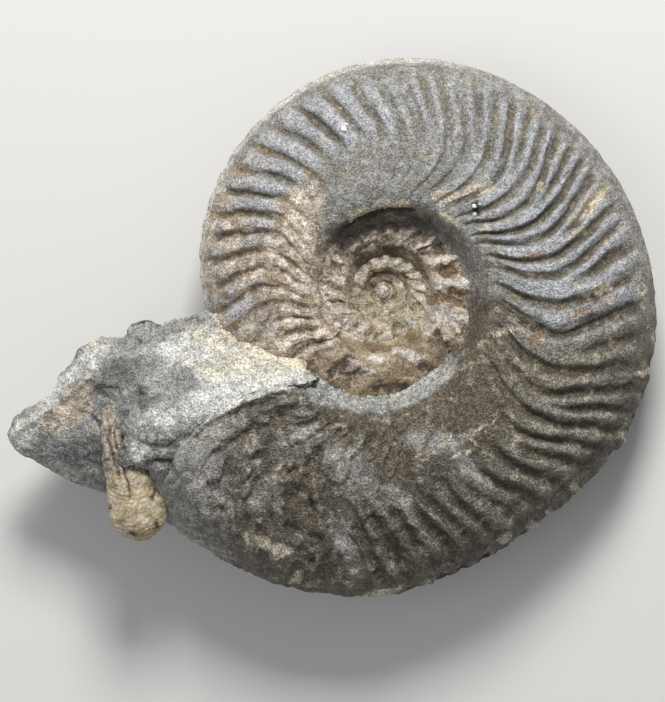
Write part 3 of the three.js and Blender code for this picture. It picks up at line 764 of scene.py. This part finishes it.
def softened_rock():
    """Places, normals and faces of the rock: coarse faces parted finely and softened."""
    points = [Vector(p) for p in ROCK_EDGE + ROCK_TOP + ROCK_UNDER]
    upper = net_faces(ROCK_EDGE, ROCK_TOP)
    lower = net_faces(ROCK_EDGE, ROCK_UNDER)
    shift = len(ROCK_TOP)
    edge = len(ROCK_EDGE)
    lower = [[i if i < edge else i + shift for i in face] for face in lower]
    mesh = bpy.data.meshes.new("rock_draft")
    mesh.from_pydata(points, [], upper + [face[::-1] for face in lower])
    shape = bmesh.new()
    shape.from_mesh(mesh)
    bpy.data.meshes.remove(mesh)
    bmesh.ops.recalc_face_normals(shape, faces=shape.faces)
    for _ in range(ROCK_PARTINGS):
        bmesh.ops.subdivide_edges(shape, edges=shape.edges, cuts=1, use_grid_fill=True)
    every_way = {"use_axis_x": True, "use_axis_y": True, "use_axis_z": True}
    for _ in range(ROCK_SOFTENINGS):
        bmesh.ops.smooth_vert(shape, verts=shape.verts, factor=0.5, **every_way)
    bmesh.ops.recalc_face_normals(shape, faces=shape.faces)
    shape.normal_update()
    places = np.array([v.co[:] for v in shape.verts])
    normals = np.array([v.normal[:] for v in shape.verts])
    faces = [[v.index for v in f.verts] for f in shape.faces]
    shape.free()
    return places, normals, faces


def rock_piece():
    """The rock with its break, ridges and clefts, smoother at its left end."""
    places, normals, faces = softened_rock()
    coarse = lumps(places, 5.0, octaves=4, roughness=0.7)
    fine = lumps(places, 1.5, octaves=4, roughness=0.6, shift=3.0)
    breaks = facets(places, 4.5, 1.0)
    small_breaks = facets(places, 1.7, 6.0)
    grit = lumps(places, 0.7, octaves=2, roughness=0.6, shift=9.0)
    calm = 0.4 + 0.6 * smooth_step(-53, -46, places[:, 0])
    rise = calm * (0.4 * coarse + 0.25 * fine + 0.75 * breaks + 0.28 * small_breaks + 0.13 * grit) - 0.4
    ragged = frayed(places, 1.6, 4.0)
    finely_ragged = frayed(places, 0.5, 2.0)
    cream = strokes(finely_ragged, CREAM_RIDGE, 5)
    fringe = strokes(finely_ragged, SEAM_FRINGE, 7)
    cleft = strokes(finely_ragged, ROCK_CLEFTS, 5)
    tip = smooth_step(-14, -10.5, places[:, 0])
    rise = rise + 0.45 * cream + 0.3 * fringe - 1.1 * cleft - 0.8 * spots(places, ROCK_PITS) - 0.3 * tip
    masks = {
        "cream": np.maximum(cream, spots(ragged, ROCK_CREAM)),
        "fringe": fringe,
        "lit_face": spots(ragged, ROCK_LIT_FACES),
        "pink": spots(ragged, ROCK_PINK),
        "dark": np.maximum(spots(ragged, ROCK_SHADED_FACES), cleft),
        "brown_and_shade": spots(ragged, ROCK_BROWN_AND_SHADE),
    }
    return new_mesh("matrix_rock_surface", places + normals * rise[:, None], faces, masks)


# The small shell: rings of a middle point, half a width and half a depth, wider under the rock's
# lump than in the solid.
SMALL_SHELL_RINGS = [
    (-46.4, -19.4, 5.5, 0.1, 0.1), (-46.3, -20.4, 5.9, 0.8, 0.8), (-45.8, -23, 6.7, 1.3, 1.2),
    (-45.2, -26, 7, 1.7, 1.3), (-44.7, -28.8, 6.4, 2, 1.5), (-42.8, -31.2, 5.7, 4, 2.6),
    (-42.5, -33.2, 4.7, 4.3, 3), (-41.8, -35.6, 4.3, 4.9, 3.5), (-41.5, -38.2, 4, 4.8, 3.4),
    (-41.5, -40.2, 3.8, 3.9, 2.8), (-41.6, -41.6, 3.6, 2.2, 1.7), (-41.6, -42.2, 3.5, 0.1, 0.1),
]

# Its growth lines round the hinge, in millimetres, and its dark marks and layers, in pixels.
HINGE = (-43.6, -31.0)
GROWTH_LINE_STEP = 1.0
SHELL_DARK = [
    (155, 494, 9, 3, 78), (158, 524, 6, 4, 60), (134, 533, 6, 3, -15), (112, 506, 4, 2, 60),
]
LAYER_LINES = [
    [(121, 418), (116, 430), (118, 446), (124, 452)],
    [(113, 424), (111, 440), (116, 458), (120, 474)],
    [(122, 462), (130, 480), (132, 496)],
]


def small_shell_piece():
    """The small shell with its growth lines, and the layered strip that runs up into the rock."""
    rings = np.array(SMALL_SHELL_RINGS)
    columns = 190
    around = 110
    place = np.linspace(0, 1, columns)
    knots = np.linspace(0, 1, len(rings))
    curves = [curve_through(list(zip(knots, sizes))) for sizes in rings.T]
    x, y, z, width, depth = (curve(place)[:, None] for curve in curves)
    turn = np.linspace(0, 2 * math.pi, around, endpoint=False)[None, :]
    width = np.maximum(width * (1.2 - 0.2 * smooth_step(0.36, 0.45, place)[:, None]), 0.05)
    depth = np.maximum(depth, 0.05)
    points = np.stack([x + width * np.cos(turn), y + 0 * turn, z + depth * np.sin(turn)], axis=-1)
    flat = points.reshape(-1, 3)
    body = np.repeat(smooth_step(0.37, 0.48, place), around)
    from_hinge = np.hypot(flat[:, 0] - HINGE[0], flat[:, 1] - HINGE[1]) + 1.2 * lumps(flat, 3.4)
    lines = 0.5 + 0.5 * np.cos(from_hinge * math.pi * 2 / GROWTH_LINE_STEP)
    aside = flat[:, 0] - np.repeat(x, around)
    strips = (0.5 + 0.5 * np.cos(aside * 8 + 2.5 * lumps(flat, 3.0))) * (1 - body)
    layers = strokes(frayed(flat, 0.3, 1.2), LAYER_LINES, 3)
    dark = spots(frayed(flat, 0.5, 1.0), SHELL_DARK)
    rise = 0.08 * body * (lines - 0.5) + 0.3 * lumps(flat, 3.6, octaves=2) - 0.3 * layers - 0.3 * dark
    rise = rise + (1 - body) * (0.3 * facets(flat, 1.6, 4.0) + 0.15) + 0.12 * strips
    normals = flank_normals(points).reshape(-1, 3)
    away = (flat - np.repeat(np.concatenate([x, y, z], axis=1), around, axis=0)) * (1, 0, 1)
    outward = np.sign(np.sum(normals * away, axis=1))
    flat = flat + normals * (outward * rise)[:, None]
    masks = {
        "lines": 0.35 * lines * body + 0.42 * (1 - strips) * (1 - body),
        "stem": 1 - body,
        "dark": np.maximum(dark, layers),
    }
    return new_mesh("small_shell_surface", flat, tube_faces(columns, around), masks)


def srgb(*shown):
    """A colour as seen on a screen, 0 to 255, as the renderer's own linear numbers."""
    shares = [value / 255 for value in shown]
    return tuple(((s + 0.055) / 1.055) ** 2.4 if s > 0.04 else s / 12.92 for s in shares) + (1.0,)


class Paint:
    """A node material built up step by step. Sizes are in millimetres."""

    def __init__(self, name, roughness, specular=0.4):
        self.material = bpy.data.materials.new(name)
        self.material.use_nodes = True
        self.tree = self.material.node_tree
        self.shader = self.tree.nodes["Principled BSDF"]
        self.feed(self.shader, {"Roughness": roughness, "Specular IOR Level": specular})
        self.where = self.node("TexCoord", {}).outputs["Object"]

    def feed(self, node, inputs):
        """Give a node its inputs, each a value or the output of another node."""
        for name, source in inputs.items():
            if isinstance(source, bpy.types.NodeSocket):
                self.tree.links.new(source, node.inputs[name])
            else:
                node.inputs[name].default_value = source

    def node(self, kind, inputs):
        made = self.tree.nodes.new("ShaderNode" + kind)
        self.feed(made, inputs)
        return made

    def noise(self, size, detail=4.0, roughness=0.6, shift=None):
        scale = 1 / (size * MM)
        node = self.node("TexNoise", {"Scale": scale, "Detail": detail, "Roughness": roughness})
        where = self.where
        if shift:
            where = self.node("Mapping", {"Location": shift, "Vector": where}).outputs["Vector"]
        self.feed(node, {"Vector": where})
        return node.outputs["Fac"]

    def mask(self, name):
        node = self.node("Attribute", {})
        node.attribute_name = name
        return node.outputs["Fac"]

    def math(self, operation, a, b=0.0):
        node = self.node("Math", {0: a, 1: b})
        node.operation = operation
        return node.outputs["Value"]

    def step(self, value, low, high):
        """0 below low and 1 above high, smooth between."""
        node = self.node("MapRange", {"Value": value, "From Min": low, "From Max": high})
        node.interpolation_type = "SMOOTHSTEP"
        return node.outputs["Result"]

    def mix(self, below, above, share, blend="MIX"):
        node = self.node("Mix", {})
        node.data_type = "RGBA"
        node.blend_type = blend
        self.feed(node, {0: share, 6: below, 7: above})
        return node.outputs[2]

    def grey(self, value):
        return self.node("CombineColor", {0: value, 1: value, 2: value}).outputs["Color"]

    def scaled(self, value, factor, shift):
        return self.math("ADD", self.math("MULTIPLY", value, factor), shift)

    def centred(self, texture, spread):
        """A texture made to swing about 0 instead of about a half."""
        return self.math("MULTIPLY", self.math("SUBTRACT", texture, 0.5), spread)

    def patchy(self, mask, texture, spread, low, high):
        """A mask whose edge is broken up by a texture."""
        return self.step(self.math("ADD", mask, self.centred(texture, spread)), low, high)

    def layer(self, below, above, name, texture, spread, low, high):
        """One colour laid over another where the named mask is, with a patchy edge."""
        return self.mix(below, above, self.patchy(self.mask(name), texture, spread, low, high))

    def stained(self, colour, texture, rows):
        """Layers from the lowest up: a row is the mask, its colour, the spread and the two limits."""
        for name, shown, spread, low, high in rows:
            colour = self.layer(colour, srgb(*shown), name, texture, spread, low, high)
        return colour

    def finish(self, colour, height, depth, roughness=None):
        """The material, with a bump of the given depth in millimetres."""
        bump = self.node("Bump", {"Strength": 1.0, "Distance": depth * MM, "Height": height})
        self.feed(self.shader, {"Base Color": colour, "Normal": bump.outputs["Normal"]})
        if roughness is not None:
            self.feed(self.shader, {"Roughness": roughness})
        return self.material


# How strongly the glints on the grains show, from 0 to 1.
GLINTS = 0.35


def grain(paint, colour, strength):
    """Light and dark patches, fine grains and some glints over a colour, and the grains' height."""
    patch = paint.step(paint.noise(4.2, shift=(0.9, 0.3, 0.6)), 0.34, 0.66)
    patch = paint.scaled(patch, 0.3, 0.85)
    fine = paint.noise(0.33, detail=2.0, roughness=0.7)
    coarse = paint.noise(0.9, detail=3.0, roughness=0.65, shift=(0.3, 0.1, 0.2))
    both = paint.math("ADD", paint.math("MULTIPLY", fine, 0.65), paint.math("MULTIPLY", coarse, 0.35))
    spread = paint.math("MULTIPLY", paint.centred(both, 5.6), strength)
    factor = paint.math("MAXIMUM", paint.math("ADD", spread, 1.0), 0.5)
    factor = paint.math("MULTIPLY", factor, patch)
    colour = paint.mix(colour, paint.grey(factor), 1.0, blend="MULTIPLY")
    glint = paint.step(paint.noise(0.4, detail=1.0, shift=(0.7, 0.2, 0.9)), 0.66, 0.76)
    here = paint.step(paint.noise(3.0, detail=2.0, shift=(0.1, 0.8, 0.3)), 0.45, 0.6)
    glint = paint.math("MULTIPLY", paint.math("MULTIPLY", glint, here), GLINTS)
    return paint.mix(colour, srgb(206, 207, 206), glint), both


# What lies on the last whorl's stone, and its painted light and shade: see Paint.stained().
FOSSIL_STAINS = [
    ("pale", (142, 139, 131), 1.6, 0.2, 1.1),
    ("sand", (152, 151, 145), 2.0, 0.05, 1.05),
    ("shaded_wall", (84, 80, 72), 0.8, 0.3, 0.9),
    ("lit_wall", (152, 153, 150), 1.4, 0.2, 1.0),
    ("rim_highlight", (186, 183, 175), 0.8, 0.2, 1.0),
    ("edge", (146, 138, 118), 1.0, 0.0, 0.7),
    ("lit_face", (188, 187, 180), 0.8, 0.2, 0.8),
    ("orange", (132, 110, 84), 1.8, 0.0, 1.1),
    ("cream", (184, 173, 153), 1.6, -0.05, 0.8),
]


def fossil_material():
    paint = Paint("fossil_stone", roughness=0.5, specular=0.5)
    patches = paint.noise(7.0)
    blotch = paint.noise(2.4, roughness=0.65, shift=(0.5, 0.2, 0.1))
    specks = paint.noise(0.8, detail=3.0, shift=(0.2, 0.7, 0.4))
    # Crests are painted paler and bluer and grooves darker, in every tone below: partly dark grit in the
    # grooves, partly a painted sheen on the crests and painted shade in the grooves.
    crest = paint.patchy(paint.mask("crest"), blotch, 1.0, 0.2, 0.95)
    grooved = paint.patchy(paint.mask("groove"), blotch, 1.2, 0.25, 0.95)
    colour = paint.mix(srgb(144, 143, 139), srgb(110, 107, 98), paint.step(blotch, 0.4, 0.62))
    colour = paint.mix(colour, srgb(159, 161, 165), crest)
    colour = paint.mix(colour, srgb(90, 82, 67), grooved)
    tan = paint.mix(srgb(203, 192, 177), srgb(150, 131, 109), paint.step(blotch, 0.4, 0.6))
    tan = paint.mix(tan, srgb(104, 84, 62), grooved)
    colour = paint.layer(colour, tan, "tan", patches, 1.3, 0.3, 0.75)
    # The olive and chamber tones: partly the stone's own darker colour, partly painted shade towards the
    # right and the bottom.
    olive = paint.mix(srgb(88, 80, 66), srgb(126, 122, 110), crest)
    olive = paint.mix(olive, srgb(68, 60, 48), grooved)
    colour = paint.layer(colour, olive, "olive", patches, 1.0, 0.3, 0.8)
    dark = paint.mix(srgb(94, 86, 71), srgb(60, 51, 38), paint.step(blotch, 0.4, 0.6))
    dark = paint.mix(dark, srgb(128, 122, 110), paint.math("MULTIPLY", crest, 0.7))
    dark = paint.mix(dark, srgb(64, 56, 44), grooved)
    colour = paint.layer(colour, dark, "chamber", patches, 0.8, 0.3, 0.8)
    colour = paint.stained(colour, blotch, FOSSIL_STAINS)
    # Dark marks, and the painted shadow line at the foot of the umbilical wall.
    colour = paint.layer(colour, srgb(46, 38, 30), "dark", specks, 1.0, 0.3, 1.1)
    strength = paint.math("SUBTRACT", paint.mask("olive"), paint.mask("sand"))
    colour, height = grain(paint, colour, paint.scaled(strength, 0.6, 1.0))
    return paint.finish(colour, height, 0.6, paint.scaled(height, 0.5, 0.2))


def crystal_material():
    paint = Paint("white_crystal", roughness=0.15, specular=0.7)
    tint = paint.noise(0.3, detail=2.0)
    colour = paint.mix(srgb(240, 241, 243), srgb(206, 208, 210), paint.step(tint, 0.4, 0.6))
    return paint.finish(colour, tint, 0.05)


# What lies on the inner whorls' calcite, and its painted shade.
CALCITE_STAINS = [
    ("olive", (130, 118, 78), 1.0, 0.1, 0.9),
    ("seam_shading", (98, 82, 58), 1.2, 0.2, 1.1),
    ("orange", (107, 84, 58), 1.8, 0.0, 1.0),
    ("brown_and_shade", (66, 54, 41), 2.0, 0.0, 1.0),
]


def calcite_material():
    paint = Paint("umbilical_calcite", roughness=0.4, specular=0.5)
    patches = paint.noise(3.6, shift=(0.4, 0.4, 0.0))
    blotch = paint.noise(1.4, roughness=0.65, shift=(0.1, 0.6, 0.2))
    crest = paint.patchy(paint.mask("crest"), blotch, 1.6, 0.1, 1.15)
    grooved = paint.patchy(paint.mask("groove"), blotch, 0.8, 0.2, 0.8)
    colour = paint.mix(srgb(172, 160, 143), srgb(108, 92, 74), paint.step(patches, 0.44, 0.62))
    colour = paint.mix(colour, srgb(92, 70, 46), grooved)
    honey = paint.mix(srgb(160, 145, 120), srgb(116, 98, 74), paint.step(patches, 0.4, 0.62))
    colour = paint.layer(colour, honey, "clear", blotch, 0.6, 0.3, 0.8)
    ring = paint.mix(srgb(166, 155, 134), srgb(124, 111, 86), paint.step(blotch, 0.4, 0.62))
    colour = paint.layer(colour, ring, "third", blotch, 0.6, 0.3, 0.8)
    colour = paint.stained(colour, blotch, CALCITE_STAINS)
    colour = paint.mix(colour, srgb(188, 181, 171), crest)
    colour = paint.layer(colour, srgb(82, 70, 54), "centre", blotch, 1.2, 0.1, 1.2)
    colour, height = grain(paint, colour, 0.9)
    return paint.finish(colour, height, 0.35, paint.scaled(height, 0.5, 0.15))


# What lies on the sandstone, and its painted light and shade.
ROCK_STAINS = [
    ("lit_face", (206, 206, 202), 0.7, 0.0, 0.85),
    ("cream", (203, 198, 180), 1.0, 0.0, 1.1),
    ("pink", (177, 167, 153), 0.4, -0.1, 0.5),
    ("dark", (115, 115, 112), 0.9, 0.0, 0.8),
    ("brown_and_shade", (104, 100, 90), 1.0, 0.2, 0.8),
    ("fringe", (212, 203, 178), 1.2, 0.1, 0.9),
]


def rock_material():
    paint = Paint("grey_sandstone", roughness=0.85, specular=0.3)
    patches = paint.noise(6.0)
    blotch = paint.noise(2.0, shift=(0.5, 0.1, 0.0))
    colour = paint.mix(srgb(138, 139, 138), srgb(154, 153, 149), paint.step(patches, 0.4, 0.62))
    colour = paint.stained(colour, blotch, ROCK_STAINS)
    colour, height = grain(paint, colour, 1.0)
    return paint.finish(colour, height, 0.7)


def small_shell_material():
    paint = Paint("ochre_shell", roughness=0.55, specular=0.45)
    patches = paint.noise(2.2)
    blotch = paint.noise(0.8, shift=(0.3, 0.0, 0.5))
    colour = paint.mix(srgb(200, 188, 162), srgb(160, 143, 112), paint.step(patches, 0.42, 0.62))
    stem = paint.mix(srgb(172, 167, 156), srgb(128, 120, 108), paint.step(blotch, 0.4, 0.6))
    colour = paint.layer(colour, stem, "stem", blotch, 0.8, 0.3, 0.8)
    colour = paint.mix(colour, srgb(128, 111, 86), paint.mask("lines"))
    colour = paint.layer(colour, srgb(86, 68, 48), "dark", blotch, 1.2, 0.1, 1.0)
    colour, height = grain(paint, colour, 0.6)
    return paint.finish(colour, height, 0.15)


def place_piece(piece, node, material):
    """The piece rides on the body, in place of the solid's node."""
    piece.data.materials.append(material)
    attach(piece, BODY)
    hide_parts(node)


def add_floor():
    bpy.ops.mesh.primitive_plane_add(size=3.0, location=(0, 0, 0))
    floor = bpy.context.object
    floor.name = "floor"
    paint = Paint("pale_floor", roughness=0.9, specular=0.2)
    floor.data.materials.append(paint.finish(srgb(214, 213, 210), paint.noise(2.0, detail=3.0), 0.01))


def add_light(name, place, size, power):
    """A square lamp that shines on the part from a place given in metres."""
    data = bpy.data.lights.new(name, "AREA")
    data.shape = "SQUARE"
    data.size = size
    data.energy = power
    data.color = (1.0, 0.99, 0.98)
    light = bpy.data.objects.new(name, data)
    light.location = place
    light.rotation_euler = (-Vector(place)).to_track_quat("-Z", "Y").to_euler()
    bpy.context.scene.collection.objects.link(light)


def add_world():
    world = bpy.data.worlds.new("studio")
    world.use_nodes = True
    background = world.node_tree.nodes["Background"]
    background.inputs["Color"].default_value = (0.92, 0.96, 1.0, 1.0)
    background.inputs["Strength"].default_value = 0.34
    bpy.context.scene.world = world


fossil = fossil_material()
calcite = calcite_material()
last_whorl = whorl_piece(
    "last_whorl", first=-43, last=MOUTH_ANGLE, step=0.4, rows_up=82, rows_down=22,
    section=last_section, reach_out=1.0, tuck=0.0, dress=dress_last_whorl,
)
place_piece(last_whorl, "ammonite", fossil)
place_piece(crystals_piece(last_whorl), "ammonite", crystal_material())

# A row is the name, the first and the last angle, the step between them, the rows of points on the
# upper and on the lower flank, and how far the whorl is tucked in, in millimetres.
inner_turns = [
    ("second_whorl", -372, -39, 0.6, 56, 14, 0.05),
    ("third_whorl", -712, -366, 1.0, 40, 12, 0.08),
    ("first_chambers", -1050, -706, 1.8, 24, 12, 0.1),
]
for name, first, last, step, rows_up, rows_down, tuck in inner_turns:
    turn = whorl_piece(
        name, first, last, step, rows_up, rows_down, inner_section, 0.7, tuck, dress_inner_whorls
    )
    place_piece(turn, "ammonite", calcite)
place_piece(centre_bead(), "ammonite", calcite)
place_piece(rock_piece(), "matrix_rock", rock_material())
place_piece(small_shell_piece(), "small_shell", small_shell_material())

add_floor()
add_light("key", place=(0.04, 0.5, 0.46), size=0.22, power=5.3)
add_light("fill", place=(-0.5, -0.1, 0.6), size=0.5, power=0.8)
add_world()
bpy.context.scene.view_settings.view_transform = "Standard"
